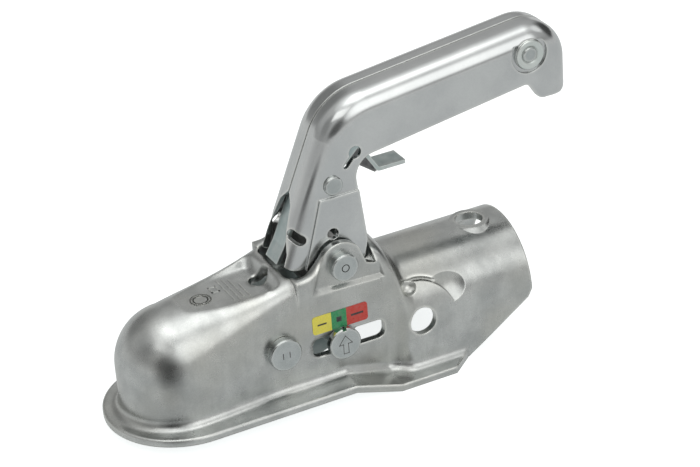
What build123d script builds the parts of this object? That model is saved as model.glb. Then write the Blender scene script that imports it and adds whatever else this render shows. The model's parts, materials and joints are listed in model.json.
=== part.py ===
from build123d import *
import math
import os

# Trailer coupling head for a 50 mm ball and a 60 mm round drawbar.
# Origin at the ball's centre, +X to the drawbar, +Z up, the slotted side with the scale at -Y.

os.makedirs("parts", exist_ok=True)

# Housing
ball_r = 25.0
ball_gap = 1.0
sheet = 4.0
dome_r = ball_r + ball_gap + sheet
waist_half = 27.0
waist_x = 44.0
plateau_z = 29.6
plateau_half = 15.0
plateau_side_run = 9.0
plateau_corner_r = 5.0
plateau_blend_r = 4.5
plateau_front_x = 7.0
collar_x = 59.7
crest_x = 61.5
collar_z = 38.0
collar_slope = 4.5
shoulder_z = 33.6
lip_x = 109.5
lip_z = 42.5
drawbar_r = 30.0
socket_gap = 0.1
socket_r = drawbar_r + socket_gap + sheet
socket_z = -6.5
socket_front_x = 122.0
socket_end_x = 195.7
opening_floor = 15.0

# Flange
flange_z = -28.3
flange_sheet = 3.8
flange_r = 42.0
flange_arc_x = 3.0
ramp_start_x = 84.0
ramp_end_x = 109.0
ramp_drop = 6.2
rear_flange_half = 45.0
rear_flange_end_x = 142.0
rear_flange_root_x = 155.0
flange_root_r = 5.0

# Pressed hollow over the cross bolt hole
boss_r = 20.0
hollow_r = 25.0
hollow_depth = 2.6
hollow_x = 146.0
hollow_z = 9.5
crease_width = 1.8
crease_depth = 1.3
crease_from_deg = 50.0
crease_to_deg = 104.0
pit_r = 5.5
pit_x = 125.2
pit_z = 14.6
pit_depth = 2.6

# Holes in the housing
bolt_r = 7.5
cross_bolt_x = 129.5
cross_bolt_z = -4.0
top_bolt_x = 177.5
top_pad_r = 10.5
top_pad_foot_r = 17.0
sight_hole_x = 52.3
sight_hole_r = 5.5
slot_left_x = 67.7
slot_right_x = 110.0
slot_height = 11.0
slot_corner_r = 4.2
slot_z = -4.2

# Pins
jaw_x = 50.8
jaw_z = 0.4
jaw_pin_r = 7.0
pin_head_r = 9.0
pin_head_h = 4.4
pivot_x = 89.2
pivot_z = 38.7
pivot_r = 6.0
pivot_head_r = 7.6
ear_r = 12.7
ear_recess = 2.5
ear_crease_z = 27.4
ear_lean_deg = 40.0
running_gap = 0.05
seat_gap = 0.05
indicator_x = 84.8
indicator_r = 5.2
indicator_head_h = 3.9
head_lift = 0.3

# Mechanism
cam_offset = 11.5
cam_r = 9.5
cam_start_deg = -120.0
cam_gap = 0.15
yoke_half = 12.5
yoke_sheet = 3.0
link_sheet = 3.0
link_gap = 0.5
link_eye_r = 7.2
arm_dx = -2.0
arm_drop = 18.0
link_pin_r = 4.0
open_pivot_gap = 0.45
spring_z = 9.6
spring_r = 6.6
spring_wire = 1.9
spring_turns = 6
rod_r = 3.0
bracket_x = 112.6
bracket_sheet = 3.0
jaw_half = 11.5
claw_half = 15.0
claw_gap = 0.6

# Handle
grip_sheet = 2.6
grip_edge_r = 12.0
grip_slope = 0.114
grip_corner_x = 95.0
grip_corner_z = 123.5
grip_bend_r = 34.0
grip_end_x = 234.0
grip_end_r = 22.0
front_tan = 0.4413
nose_z = 38.6
nose_r = 6.0
tail_r = 16.5
inner_bend_x = 103.5
inner_bend_z = 91.6
inner_bend_r = 12.0
hook_z = 96.0
pad_top_z = 75.0
pad_rise = 1.4
pivot_washer_h = 1.6
grip_half = waist_half - ear_recess - sheet - pivot_washer_h - pad_rise
grip_rivet_x = 208.9
grip_rivet_z = 122.8
grip_rivet_r = 4.1
grip_washer_r = 8.4
grip_washer_h = 1.6
grip_pocket_r = 10.5
grip_pocket_depth = 1.2
catch_x = 90.8
catch_z = 81.5
catch_rivet_r = 4.0
catch_head_r = 5.2
catch_head_h = 2.0
catch_half = 6.5
catch_sheet = 2.2
seam_half = 0.6
seam_depth = 0.8

pressed_hole_x = 88.3
pressed_hole_z = 54.6
pressed_hole_r = 3.15
keyhole_x = 104.8
keyhole_z = 96.2
keyhole_r = 3.5
keyhole_slot_x = 102.0
keyhole_slot_z = 93.0
keyhole_slot_tilt = 48.0
keyhole_slot_length = 11.5
keyhole_slot_width = 3.0
shoulder_slot_x = 70.3
shoulder_slot_y = 13.2
shoulder_slot_z = 55.8
shoulder_slot_length = 11.0
shoulder_slot_width = 5.5
shoulder_slot_turn = 48.0
shoulder_slot_tilt = 30.0
front_gap = ((0, 76), (5.8, 70), (8.7, 58), (12.8, 47), (14, 30))

# Catch lever, as x and z of its strip from the tongue to the foot, and of its two arms
tongue_z = 75.5
catch_strip = (
    (138.5, tongue_z),
    (122.0, tongue_z),
    (112.0, 91.9),
    (104.0, 97.2),
    (93.2, 95.8),
    (80.0, 75.0),
    (67.3, 46.6),
)
catch_arm = ((79.2, 75.6), (92.5, 96.6), (104.0, 98.0), (112.2, 92.4), (98.0, 79.0), (86.0, 75.0))

# Scale sticker
scale_x = 84.5
scale_length = 32.0
scale_height = 10.5
scale_z = 9.4
scale_sheet = 0.3

tube_top_z = socket_z + socket_r
top_pad_z = tube_top_z - 0.1
far = 200.0


def export(part, name):
    part.label = name
    export_step(part, f"parts/{name}.step")


def arch(x, half, top, spring, squareness, foot):
    """Section across the body: upright sides up to the spring line, then two shoulders.

    Squareness 0 gives a true half circle, and nearer 1 the shoulders are tighter.
    """
    with BuildSketch(Plane.YZ.offset(x)) as section:
        with BuildLine():
            Line((-half, foot), (-half, spring))
            if squareness:
                handle_z = spring + squareness * (top - spring)
                Bezier((-half, spring), (-half, handle_z), (-half * squareness, top), (0, top))
                Bezier((0, top), (half * squareness, top), (half, handle_z), (half, spring))
            else:
                CenterArc((0, spring), half, 90, 90)
                CenterArc((0, spring), half, 0, 90)
            Line((half, spring), (half, foot))
            Line((half, foot), (-half, foot))
        make_face()
    return section.sketch


def housing_form(inset, foot):
    """The closed outer form of the pressing, with every wall moved in by inset."""
    dome = dome_r - inset
    waist = waist_half - inset
    socket = socket_r - inset
    tube_top = tube_top_z - inset
    # Inside, the roof behind the collar lies low, because the opening is cut down through it.
    lip_top = lip_z if inset == 0 else opening_floor + 9
    waist_top = collar_z if inset == 0 else opening_floor + 9
    with BuildPart() as form:
        with BuildSketch(Plane.YZ):
            with BuildLine():
                Line((0, dome), (0, foot))
                Line((0, foot), (dome, foot))
                Line((dome, foot), (dome, 0))
                CenterArc((0, 0), dome, 0, 90)
            make_face()
        revolve(axis=Axis.Z, revolution_arc=180)
        # The waist rises from the dome to the collar.
        add(arch(0, dome, dome, 0, 0, foot))
        add(arch(waist_x / 2, (dome + waist) / 2 + 0.2, (dome_r + shoulder_z) / 2 - inset, 4, 0.7, foot))
        add(arch(waist_x, waist, shoulder_z - inset, 14, 0.86, foot))
        add(arch(crest_x, waist, collar_z - inset, 22, 0.9, foot))
        loft()
        # The straight waist under the ears, and the lip behind them.
        collar = arch(crest_x - inset, waist, waist_top, 14, 0.9, foot)
        extrude(collar, amount=lip_x + sheet - crest_x + inset, dir=(1, 0, 0))
        # The shoulder that widens to the drawbar socket.
        add(arch(lip_x - 1, waist, lip_top, 14, 0.88, foot))
        add(arch(lip_x + sheet, waist + 0.7, lip_top - 1.5, 13, 0.85, foot))
        add(arch(lip_x + sheet + 5, (waist + socket) / 2 + 0.6, (lip_top + tube_top) / 2 - 1, 8, 0.7, foot))
        add(arch(socket_front_x, socket - 0.4, tube_top + 0.6, socket_z + 3, 0.6, foot))
        add(arch(socket_front_x + 4, socket, tube_top, socket_z, 0, foot))
        loft()
        tube = arch(socket_front_x + 4, socket, tube_top, socket_z, 0, foot)
        extrude(tube, amount=socket_end_x - socket_front_x - 4 + inset, dir=(1, 0, 0))
    return form.part


def plateau_cut(inset):
    """The sunk flat in front of the collar, as the space above it, with leaning sides."""
    floor = plateau_z - inset
    height = collar_z + 12 - plateau_z
    half = plateau_half + inset * 0.4
    side_run = plateau_side_run * height / (collar_z - plateau_z)
    slope_run = collar_slope * height / (collar_z - plateau_z)
    slope_foot_x = collar_x - 2 - collar_slope + inset / 2
    with BuildPart() as cut:
        with BuildSketch(Plane.XY.offset(floor)):
            Polygon(
                (plateau_front_x, -half),
                (slope_foot_x, -half),
                (slope_foot_x, half),
                (plateau_front_x, half),
                align=None,
            )
        with BuildSketch(Plane.XY.offset(floor + height)):
            Polygon(
                (plateau_front_x - side_run, -half - side_run),
                (slope_foot_x + slope_run, -half - side_run),
                (slope_foot_x + slope_run, half + side_run),
                (plateau_front_x - side_run, half + side_run),
                align=None,
            )
        loft(ruled=True)
        leaning = cut.edges().filter_by(lambda e: abs(e.tangent_at(0.5).Z) > 0.2)
        fillet(leaning.group_by(Axis.X)[-1], plateau_corner_r)
        fillet(cut.edges().group_by(Axis.Z)[0], plateau_blend_r)
    return cut.part


def bar_y(x, z, radius, y_from, y_to):
    """A round bar along Y."""
    with BuildPart() as bar:
        with BuildSketch(Plane.XZ.offset(-y_from)):
            with Locations((x, z)):
                Circle(radius)
        extrude(amount=y_from - y_to)
    return bar.part


def tube_point(x, z, side, height):
    """A point above the drawbar socket's outside, at the given height over it."""
    across = math.sqrt(socket_r**2 - (z - socket_z) ** 2)
    outward = (socket_r + height) / socket_r
    return (x, side * across * outward, socket_z + (z - socket_z) * outward)


def headed_pin(x, z, radius, face_y, head_r, head_h, far_y, far_r, far_h):
    """A rivet pin along Y: head at the -Y side, shank, and a riveted head at the far side."""
    with BuildPart() as pin:
        add(bar_y(x, z, head_r, face_y, face_y + head_h))
        add(bar_y(x, z, far_r, far_y - far_h, far_y))
        rims = pin.edges().filter_by(GeomType.CIRCLE)
        chamfer(rims.group_by(Axis.Y)[0], 0.6)
        chamfer(pin.edges().filter_by(GeomType.CIRCLE).group_by(Axis.Y)[-1], 0.6)
        add(bar_y(x, z, radius, face_y + head_h, far_y - far_h))
    return pin.part


def washer_y(x, z, outer, inner, y_from, y_to):
    with BuildPart() as ring:
        add(bar_y(x, z, outer, y_from, y_to))
        add(bar_y(x, z, inner, y_from, y_to), mode=Mode.SUBTRACT)
    return ring.part


# Housing

with BuildPart() as ears:
    # Each ear rises in a round top about the pivot, from the dip behind the collar.
    with BuildSketch(Plane.XZ):
        with BuildLine():
            dip_z = collar_z - 0.9
            ear_front = (pivot_x - ear_r * 0.72, pivot_z + ear_r * 0.69)
            ear_rear = (pivot_x + ear_r * 0.82, pivot_z + ear_r * 0.57)
            Line((collar_x + 2, flange_z), (collar_x + 2, dip_z))
            Line((collar_x + 2, dip_z), (collar_x + 5, dip_z))
            Spline((collar_x + 5, dip_z), ear_front, tangents=((1, 0), (0.69, 0.72)))
            ThreePointArc(ear_front, (pivot_x, pivot_z + ear_r), ear_rear)
            Polyline(ear_rear, (lip_x - 6, pivot_z - 3), (lip_x, pivot_z - 5), (lip_x, flange_z))
            Line((lip_x, flange_z), (collar_x + 2, flange_z))
        make_face()
    extrude(amount=waist_half, both=True)

rear_flange_z = flange_z - ramp_drop

with BuildPart() as flange:
    # The flange strip seen from the side, level in front and dropped behind the ramp.
    with BuildSketch(Plane.XZ):
        Polygon(
            (-flange_r, flange_z),
            (ramp_start_x, flange_z),
            (ramp_end_x, rear_flange_z),
            (rear_flange_root_x, rear_flange_z),
            (rear_flange_root_x, rear_flange_z + flange_sheet),
            (ramp_end_x + 1, rear_flange_z + flange_sheet),
            (ramp_start_x + 1, flange_z + flange_sheet),
            (-flange_r, flange_z + flange_sheet),
            align=None,
        )
    extrude(amount=rear_flange_half + 2, both=True)
    # Its outline from above.
    with BuildSketch(Plane.XY.offset(flange_z - 20)):
        with BuildLine():
            ThreePointArc((flange_arc_x, flange_r), (flange_arc_x - flange_r, 0), (flange_arc_x, -flange_r))
            Polyline(
                (flange_arc_x, -flange_r),
                (ramp_start_x, -flange_r),
                (ramp_end_x, -rear_flange_half),
                (rear_flange_end_x, -rear_flange_half),
                (rear_flange_root_x, -socket_r),
                (rear_flange_root_x, socket_r),
                (rear_flange_end_x, rear_flange_half),
                (ramp_end_x, rear_flange_half),
                (ramp_start_x, flange_r),
                (flange_arc_x, flange_r),
            )
        make_face()
    extrude(amount=40, mode=Mode.INTERSECT)
    rims = flange.edges().filter_by(lambda e: abs(e.center().Z - flange_z - flange_sheet) < 0.01)
    chamfer(rims.filter_by(GeomType.CIRCLE), 0.7)

with BuildPart() as cavity:
    add(housing_form(sheet, flange_z - 40))
    add(plateau_cut(sheet), mode=Mode.SUBTRACT)
    # The opening for the handle, a little wider in front than between the ears.
    ear_inner = waist_half - ear_recess - sheet
    with BuildSketch(Plane.XY.offset(opening_floor)) as opening:
        Polygon(
            (collar_x, -ear_inner - 1.5),
            (collar_x + 9, -ear_inner - 1.5),
            (collar_x + 14, -ear_inner),
            (lip_x, -ear_inner),
            (lip_x, ear_inner),
            (collar_x + 14, ear_inner),
            (collar_x + 9, ear_inner + 1.5),
            (collar_x, ear_inner + 1.5),
            align=None,
        )
        fillet(opening.vertices().group_by(Axis.X)[0], 8)
        fillet(opening.vertices().group_by(Axis.X)[-1], 7)
    extrude(amount=far / 2)

with BuildPart() as housing:
    add(housing_form(0, flange_z - 14))
    add(ears.part)
    # Everything below the flange and behind the slanted end is cut away.
    with BuildSketch(Plane.XZ):
        Polygon(
            (-far, flange_z),
            (ramp_start_x, flange_z),
            (ramp_end_x, rear_flange_z),
            (rear_flange_root_x, rear_flange_z),
            (rear_flange_root_x + 10.5, rear_flange_z + 6.6),
            (socket_end_x - 2.6, socket_z - 3.2),
            (socket_end_x, socket_z + 1.5),
            (far + 50, socket_z + 1.5),
            (far + 50, -far),
            (-far, -far),
            align=None,
        )
    extrude(amount=far, both=True, mode=Mode.SUBTRACT)
    add(plateau_cut(0), mode=Mode.SUBTRACT)
    add(flange.part)
    # The walls flare into the flange all round.
    wall_feet = housing.edges().filter_by(
        lambda e: rear_flange_z + flange_sheet - 0.1 < e.center().Z < flange_z + flange_sheet + 0.1
        and -dome_r - 1 < e.center().X < rear_flange_root_x
        and abs(e.center().Y) < socket_r + 0.1
    )
    across = wall_feet.filter_by(GeomType.LINE).filter_by(lambda e: abs(e.tangent_at(0.5).Y) > 0.9)
    fillet([edge for edge in wall_feet if edge not in across], flange_root_r)
    # The ears stand in from the waist, above a slanted crease.
    for side in (-1, 1):
        with BuildSketch(Plane.XZ.offset(-side * (waist_half - ear_recess))):
            Polygon(
                (collar_x + 13, ear_crease_z + 1.5),
                (lip_x + 1, ear_crease_z),
                (lip_x + 1, far / 2),
                (collar_x + 17, far / 2),
                (collar_x + 17, collar_z + 3),
                align=None,
            )
        extrude(amount=-side * 10, taper=-ear_lean_deg, mode=Mode.SUBTRACT)
    # A flat is pressed round the top bolt hole.
    with BuildSketch(Plane.XY.offset(top_pad_z - 6)):
        with Locations((top_bolt_x, 0)):
            Circle(top_pad_foot_r)
    with BuildSketch(Plane.XY.offset(top_pad_z)):
        with Locations((top_bolt_x, 0)):
            Circle(top_pad_r)
    loft()
    # A hollow, a crease and a pit are pressed over the round flat of the cross bolt hole.
    for side in (-1, 1):
        with BuildPart(mode=Mode.PRIVATE) as pressed:
            with Locations(tube_point(hollow_x, hollow_z, side, hollow_r - hollow_depth)):
                Sphere(hollow_r)
            add(bar_y(cross_bolt_x, cross_bolt_z, boss_r, -far, far), mode=Mode.SUBTRACT)
        add(pressed.part, mode=Mode.SUBTRACT)
        with Locations(tube_point(pit_x, pit_z, side, pit_r - pit_depth)):
            Sphere(pit_r, mode=Mode.SUBTRACT)
    with BuildPart(mode=Mode.PRIVATE) as crease:
        with BuildSketch(Plane.XZ):
            with Locations((cross_bolt_x, cross_bolt_z)):
                Circle(boss_r + crease_width)
                Circle(boss_r, mode=Mode.SUBTRACT)
                rays = [math.radians(a) for a in (crease_from_deg, crease_to_deg)]
                reach = 2 * boss_r
                wedge = [(reach * math.cos(a), reach * math.sin(a)) for a in rays]
                Polygon((0, 0), *wedge, align=None, mode=Mode.INTERSECT)
        extrude(amount=far, both=True)
        with BuildSketch(Plane.YZ):
            with Locations((0, socket_z)):
                Circle(socket_r - crease_depth)
        extrude(amount=far, mode=Mode.SUBTRACT)
    add(crease.part, mode=Mode.SUBTRACT)
    add(cavity.part, mode=Mode.SUBTRACT)
    # Bolt holes, the side slots and the hole in front of the collar.
    with BuildSketch(Plane.XZ):
        with Locations((cross_bolt_x, cross_bolt_z)):
            Circle(bolt_r)
        with Locations((jaw_x, jaw_z)):
            Circle(jaw_pin_r)
        with Locations((pivot_x, pivot_z)):
            Circle(pivot_r)
        with Locations(((slot_left_x + slot_right_x) / 2, slot_z)):
            RectangleRounded(slot_right_x - slot_left_x, slot_height, slot_corner_r)
    extrude(amount=far, both=True, mode=Mode.SUBTRACT)
    with BuildSketch(Plane.XY):
        with Locations((top_bolt_x, 0)):
            Circle(bolt_r)
        with Locations((sight_hole_x, 0)):
            Circle(sight_hole_r)
    extrude(amount=far, mode=Mode.SUBTRACT)

export(housing.part, "housing")

# Pins of the housing

waist_outer = waist_half
ear_outer = waist_half - ear_recess
jaw_pin = headed_pin(
    jaw_x, jaw_z, jaw_pin_r,
    -waist_outer - seat_gap - pin_head_h, pin_head_r, pin_head_h,
    waist_outer + seat_gap + pin_head_h - 1, pin_head_r, pin_head_h - 1,
)
export(jaw_pin, "jaw_pin")
handle_pivot_pin = headed_pin(
    pivot_x, pivot_z, pivot_r,
    -ear_outer - pin_head_h, pivot_head_r, pin_head_h,
    ear_outer + pin_head_h - 1, pivot_head_r, pin_head_h - 1,
)
export(handle_pivot_pin, "handle_pivot_pin")

for name, side in (("pivot_washer_left", -1), ("pivot_washer_right", 1)):
    edges_y = sorted((side * (grip_half + pad_rise + running_gap), side * (ear_inner - running_gap)))
    washer = washer_y(pivot_x, pivot_z, ear_r - 2.2, pivot_r + running_gap, edges_y[0], edges_y[1])
    export(washer, name)

# Scale sticker with round corners

with BuildPart() as wear_scale:
    with BuildSketch(Plane.XZ.offset(waist_half)):
        with Locations((scale_x, scale_z)):
            RectangleRounded(scale_length, scale_height, 1.6)
    extrude(amount=scale_sheet)
export(wear_scale.part, "wear_scale")

# Spring bracket: a plate across the waist with a tab folded forward along each wall

bracket_low = -2.0
bracket_high = spring_z + spring_r + 1.4
tab_length = 12.0
with BuildPart() as spring_bracket:
    half = waist_half - sheet - seat_gap
    with BuildSketch(Plane.XY.offset(bracket_low)):
        with BuildLine():
            Polyline(
                (bracket_x - tab_length, -half),
                (bracket_x + bracket_sheet - 4, -half),
                (bracket_x + bracket_sheet, -half + 3),
                (bracket_x + bracket_sheet, half - 3),
                (bracket_x + bracket_sheet - 4, half),
                (bracket_x - tab_length, half),
                (bracket_x - tab_length, half - bracket_sheet),
                (bracket_x - 2, half - bracket_sheet),
                (bracket_x, half - bracket_sheet - 2),
                (bracket_x, -half + bracket_sheet + 2),
                (bracket_x - 2, -half + bracket_sheet),
                (bracket_x - tab_length, -half + bracket_sheet),
                (bracket_x - tab_length, -half),
            )
        make_face()
    extrude(amount=bracket_high - bracket_low)
    # The tabs stay above the slots.
    with BuildSketch(Plane.XZ):
        Polygon(
            (bracket_x - tab_length - 1, bracket_low - 1),
            (bracket_x - 1, bracket_low - 1),
            (bracket_x - 1, bracket_low + 1),
            (bracket_x - tab_length - 1, slot_z + slot_height / 2 + 4),
            align=None,
        )
    extrude(amount=far, both=True, mode=Mode.SUBTRACT)
    # The upper corners clear the shoulders of the waist.
    top_edges = spring_bracket.edges().filter_by(Axis.X).group_by(Axis.Z)[-1]
    chamfer(top_edges.filter_by(lambda e: abs(e.center().Y) > half - 0.1), 2.2)
    with BuildSketch(Plane.YZ):
        with Locations((0, spring_z)):
            Circle(rod_r)
    extrude(amount=far, mode=Mode.SUBTRACT)
export(spring_bracket.part, "spring_bracket")

# Guide rod: riveted behind the bracket, its tip ahead of the yoke

rod_tip_x = indicator_x - 12.5
with BuildPart() as guide_rod:
    with BuildSketch(Plane.YZ.offset(rod_tip_x)):
        with Locations((0, spring_z)):
            Circle(rod_r)
    extrude(amount=bracket_x + bracket_sheet - rod_tip_x)
    with BuildSketch(Plane.YZ.offset(bracket_x + bracket_sheet)):
        with Locations((0, spring_z)):
            Circle(rod_r + 2.2)
    extrude(amount=2.4)
    chamfer(guide_rod.edges().filter_by(GeomType.CIRCLE).group_by(Axis.X)[0], 0.8)
    chamfer(guide_rod.edges().filter_by(GeomType.CIRCLE).group_by(Axis.X)[-1], 0.9)
export(guide_rod.part, "guide_rod")

# Slide yoke: two side plates with horns for the cam, joined in front by the spring's crosspiece

yoke_front_x = indicator_x - 6.3
yoke_top_z = spring_z + spring_r + 1.0
cam_centre_x = pivot_x + cam_offset * math.cos(math.radians(cam_start_deg))
cam_centre_z = pivot_z + cam_offset * math.sin(math.radians(cam_start_deg))
horn_x = cam_centre_x + cam_r + cam_gap
horn_top_z = cam_centre_z + 1.0
horn_width = 5.0
with BuildPart() as slide_yoke:
    with BuildSketch(Plane.XZ) as yoke_side:
        Polygon(
            (yoke_front_x, slot_z - 6.3),
            (indicator_x + 5.7, slot_z - 6.3),
            (indicator_x + 9.5, spring_z - 8.4),
            (horn_x + horn_width, spring_z - 8.4),
            (horn_x + horn_width, horn_top_z),
            (horn_x, horn_top_z),
            (horn_x, yoke_top_z),
            (yoke_front_x, yoke_top_z),
            align=None,
        )
        fillet(yoke_side.vertices().group_by(Axis.Y)[0], 3)
    extrude(amount=yoke_half, both=True)
    slot_behind = yoke_front_x + yoke_sheet
    with BuildSketch(Plane.XY.offset(-40)):
        with Locations((slot_behind + 30, 0)):
            Rectangle(60, 2 * (yoke_half - yoke_sheet))
    extrude(amount=100, mode=Mode.SUBTRACT)
    # The crosspiece ends above the cross pin.
    with BuildSketch(Plane.XZ):
        with Locations((yoke_front_x + yoke_sheet / 2, slot_z - 3)):
            Rectangle(yoke_sheet + 0.2, 9)
    extrude(amount=yoke_half - yoke_sheet, both=True, mode=Mode.SUBTRACT)
    with BuildSketch(Plane.YZ):
        with Locations((0, spring_z)):
            Circle(rod_r + 0.3)
    extrude(amount=far, mode=Mode.SUBTRACT)
    with BuildSketch(Plane.XZ):
        with Locations((indicator_x, slot_z)):
            Circle(indicator_r)
    extrude(amount=far, both=True, mode=Mode.SUBTRACT)
export(slide_yoke.part, "slide_yoke")

# Cross pin with the indicator head, and the cap on its far end

pin_end_y = waist_half + head_lift + 3.8
with BuildPart() as indicator_pin:
    face_y = -waist_half - head_lift - indicator_head_h
    add(bar_y(indicator_x, slot_z, pin_head_r, face_y, -waist_half - head_lift))
    chamfer(indicator_pin.edges().filter_by(GeomType.CIRCLE).group_by(Axis.Y)[0], 0.5)
    add(bar_y(indicator_x, slot_z, indicator_r, -waist_half - head_lift, pin_end_y))
    # A notch in the rim points up at the scale.
    with BuildSketch(Plane.XZ.offset(-face_y)):
        with Locations((indicator_x, slot_z + pin_head_r)):
            Rectangle(2.2, 2.6)
    extrude(amount=-indicator_head_h, mode=Mode.SUBTRACT)
export(indicator_pin.part, "indicator_pin")

cap_y = waist_half + head_lift
with BuildPart() as indicator_retainer:
    add(washer_y(indicator_x, slot_z, pin_head_r, indicator_r, cap_y, cap_y + 2.6))
    outer_face_edges = indicator_retainer.edges().filter_by(GeomType.CIRCLE).group_by(Axis.Y)[-1]
    chamfer(outer_face_edges.sort_by(SortBy.RADIUS)[-1], 0.8)
export(indicator_retainer.part, "indicator_retainer")

# Links from the cross pin down to the jaw's arm

arm_x = jaw_x + arm_dx
arm_z = jaw_z - arm_drop
link_in = yoke_half + link_gap
for name, side in (("link_left", -1), ("link_right", 1)):
    with BuildPart() as link:
        with BuildSketch(Plane.XZ.offset(-side * link_in)):
            with BuildLine():
                tilt = math.atan2(slot_z - arm_z, indicator_x - arm_x)
                along = Vector(math.cos(tilt), math.sin(tilt)) * link_eye_r
                lean = Vector(-along.Y, along.X)
                eye_a = Vector(arm_x, arm_z)
                eye_b = Vector(indicator_x, slot_z)
                Line(eye_a + lean, eye_b + lean)
                ThreePointArc(eye_b + lean, eye_b + along, eye_b - lean)
                Line(eye_b - lean, eye_a - lean)
                ThreePointArc(eye_a - lean, eye_a - along, eye_a + lean)
            make_face()
            with Locations((arm_x, arm_z)):
                Circle(link_pin_r + open_pivot_gap, mode=Mode.SUBTRACT)
            with Locations((indicator_x, slot_z)):
                Circle(indicator_r + running_gap, mode=Mode.SUBTRACT)
        extrude(amount=-side * link_sheet)
    export(link.part, name)

link_out = link_in + link_sheet
link_pin = headed_pin(
    arm_x, arm_z, link_pin_r,
    -link_out - 0.3 - 1.8, link_pin_r + 2, 1.8,
    link_out + 0.3 + 1.8, link_pin_r + 2, 1.8,
)
export(link_pin, "link_pin")

# Jaw: an eye on the jaw pin, an arm down to the links and a claw hollowed to the ball

jaw_eye_r = 12.0
arm_eye_r = 7.0
claw_bottom_z = flange_z + 1.2
with BuildPart() as jaw:
    with BuildSketch(Plane.XZ):
        with BuildLine():
            Polyline(
                (jaw_x - 8, jaw_z + 8.9),
                (jaw_x - 18, jaw_z + 6.5),
                (ball_r - 3, jaw_z - 3),
                (ball_r - 9, -18),
                (ball_r - 8.2, claw_bottom_z + 3),
                (ball_r - 4, claw_bottom_z),
                (jaw_x - 14, claw_bottom_z + 0.6),
                (arm_x, arm_z - arm_eye_r),
                (arm_x + 6.4, arm_z - 2.8),
                (jaw_x + 11.2, jaw_z - 4.5),
                (jaw_x, jaw_z + 4),
                (jaw_x - 8, jaw_z + 8.9),
            )
        make_face()
        with Locations((jaw_x, jaw_z)):
            Circle(jaw_eye_r)
        with Locations((arm_x, arm_z)):
            Circle(arm_eye_r)
    extrude(amount=jaw_half, both=True)
    # The claw is wider than the arm where it holds the ball.
    with BuildSketch(Plane.XZ):
        Polygon(
            (ball_r + 8, jaw_z + 2),
            (ball_r - 3, jaw_z - 3),
            (ball_r - 9, -18),
            (ball_r - 8.2, claw_bottom_z + 3),
            (ball_r - 4, claw_bottom_z),
            (jaw_x - 16, claw_bottom_z + 0.4),
            align=None,
        )
    extrude(amount=claw_half, both=True)
    Sphere(ball_r + claw_gap, mode=Mode.SUBTRACT)
    with BuildSketch(Plane.XZ):
        with Locations((jaw_x, jaw_z)):
            Circle(jaw_pin_r + running_gap)
        with Locations((arm_x, arm_z)):
            Circle(link_pin_r)
    extrude(amount=far, both=True, mode=Mode.SUBTRACT)
export(jaw.part, "jaw")

# Spring seat washer and the compression spring behind it

seat_h = 1.5
with BuildPart() as spring_seat:
    with BuildSketch(Plane.YZ.offset(yoke_front_x + yoke_sheet)):
        with Locations((0, spring_z)):
            Circle(spring_r + 1.2)
            Circle(rod_r + 0.3, mode=Mode.SUBTRACT)
    extrude(amount=seat_h)
export(spring_seat.part, "spring_seat")

spring_front_x = yoke_front_x + yoke_sheet + seat_h
spring_length = bracket_x - spring_front_x - spring_wire - 0.1
coil_start_x = spring_front_x + spring_wire / 2 + 0.05
with BuildPart() as main_spring:
    with BuildLine() as coil:
        Helix(
            pitch=spring_length / spring_turns,
            height=spring_length,
            radius=spring_r,
            center=(coil_start_x, 0, spring_z),
            direction=(1, 0, 0),
        )
    with BuildSketch(Plane(coil.line @ 0, z_dir=coil.line % 0)):
        Circle(spring_wire / 2)
    sweep(path=coil.line, is_frenet=True)
export(main_spring.part, "main_spring")

# Handle: two pressed half shells


def rounded_outline(corners):
    """A closed outline in the XZ plane, from corners given as x, z and rounding radius."""
    with BuildSketch(Plane.XZ) as outline:
        Polygon(*[(x, z) for x, z, radius in corners], align=None)
        for x, z, radius in corners:
            if radius:
                fillet(outline.vertices().sort_by_distance((x, z, 0))[0], radius)
    return outline.sketch


def front_x(z):
    """The handle's front line, leaning back as it rises to the grip."""
    return grip_corner_x + front_tan * (z - grip_corner_z)


def bulk_outline(inset):
    """The handle's front, bend, top and end, moved in by inset, closed below the grip."""
    shift = inset * math.hypot(1, front_tan)
    drop = inset * math.hypot(1, grip_slope)
    top_at_corner = grip_corner_z - drop - grip_slope * (front_tan * drop - shift)
    corner_x = front_x(top_at_corner) + shift
    end_x = grip_end_x - inset
    end_top = top_at_corner + grip_slope * (end_x - corner_x)
    return rounded_outline(
        (
            (front_x(20) + shift, 20, 0),
            (corner_x, top_at_corner, grip_bend_r - inset),
            (end_x, end_top, grip_end_r - inset),
            (end_x, hook_z - 14, 0),
            (grip_corner_x + 35, 60, 0),
            (grip_corner_x + 35, 20, 0),
        )
    )


def handle_bulk(inset):
    """The handle's form with its long edges rounded, before the lower outline is cut."""
    half = grip_half - inset
    with BuildPart() as bulk:
        extrude(bulk_outline(inset), amount=half, both=True)
        rims = bulk.edges().filter_by(lambda e: abs(abs(e.center().Y) - half) < 0.01)
        outer_rims = rims.filter_by(
            lambda e: e.center().X > grip_end_x - inset - grip_end_r
            or e.center().Z > grip_corner_z - 25
            or e.center().X < front_x(e.center().Z) + 4
        )
        fillet(outer_rims, grip_edge_r - inset)
    return bulk.part


# The handle's side outline, drawn a little outside the rounded form where that one ends it.
side_outline = rounded_outline(
    (
        (front_x(nose_z), nose_z, nose_r),
        (pivot_x - 18, nose_z, 0),
        (pivot_x - tail_r * 0.63, pivot_z - tail_r * 0.776, 0),
        (pivot_x, pivot_z, 0),
        (pivot_x + tail_r * 0.966, pivot_z - tail_r * 0.26, 0),
        (inner_bend_x + 4.3, pivot_z + 7, 6),
        (inner_bend_x, inner_bend_z, inner_bend_r),
        (grip_rivet_x - 1.5, hook_z + 10.4, 4),
        (grip_rivet_x + 5, hook_z, 6),
        (grip_end_x, hook_z, 8),
        (grip_end_x + 3, grip_corner_z + 30, 0),
        (front_x(grip_corner_z + 30) - 5, grip_corner_z + 30, 0),
    )
)


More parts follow.
